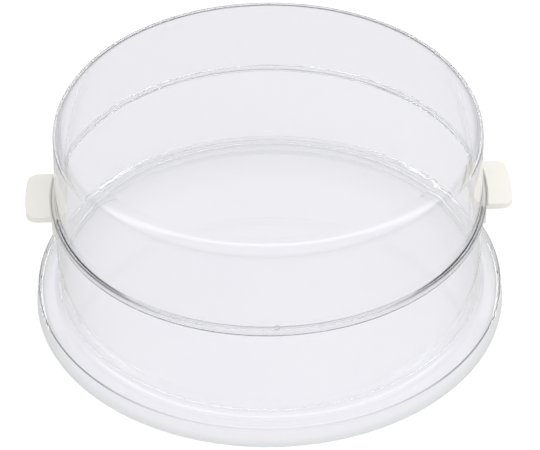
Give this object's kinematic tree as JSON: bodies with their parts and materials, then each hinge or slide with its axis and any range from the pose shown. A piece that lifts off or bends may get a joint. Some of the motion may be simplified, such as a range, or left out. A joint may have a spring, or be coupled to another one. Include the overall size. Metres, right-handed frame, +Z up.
{
  "type": "round cake keeper",
  "caption": "Clear round cake keeper: a wide-footed tub, a deep lift-off cover with a round shoulder, and cream grip ears set into the tub's rim at opposite sides.",
  "frame": {"origin": "on the table under the middle of the foot", "axes": "+Z up through the flat top, +X through the middle of one grip ear and -X through the other, -Y is the front that the picture shows"},
  "size_m": [0.3346, 0.3294, 0.1519],
  "materials": {
    "clear_tub": "clear, polished",
    "clear_cover": "clear, polished",
    "cream_grip": "satin moulded"
  },
  "bodies": {
    "lower": {"tub": "clear_tub", "left_handle": "cream_grip", "right_handle": "cream_grip"},
    "upper": {"cover": "clear_cover"}
  },
  "joints": [
    {"name": "cover_lift", "type": "slide", "parent": "lower", "child": "upper", "axis": [0, 0, 1], "range_m": [0, 0.15]}
  ]
}
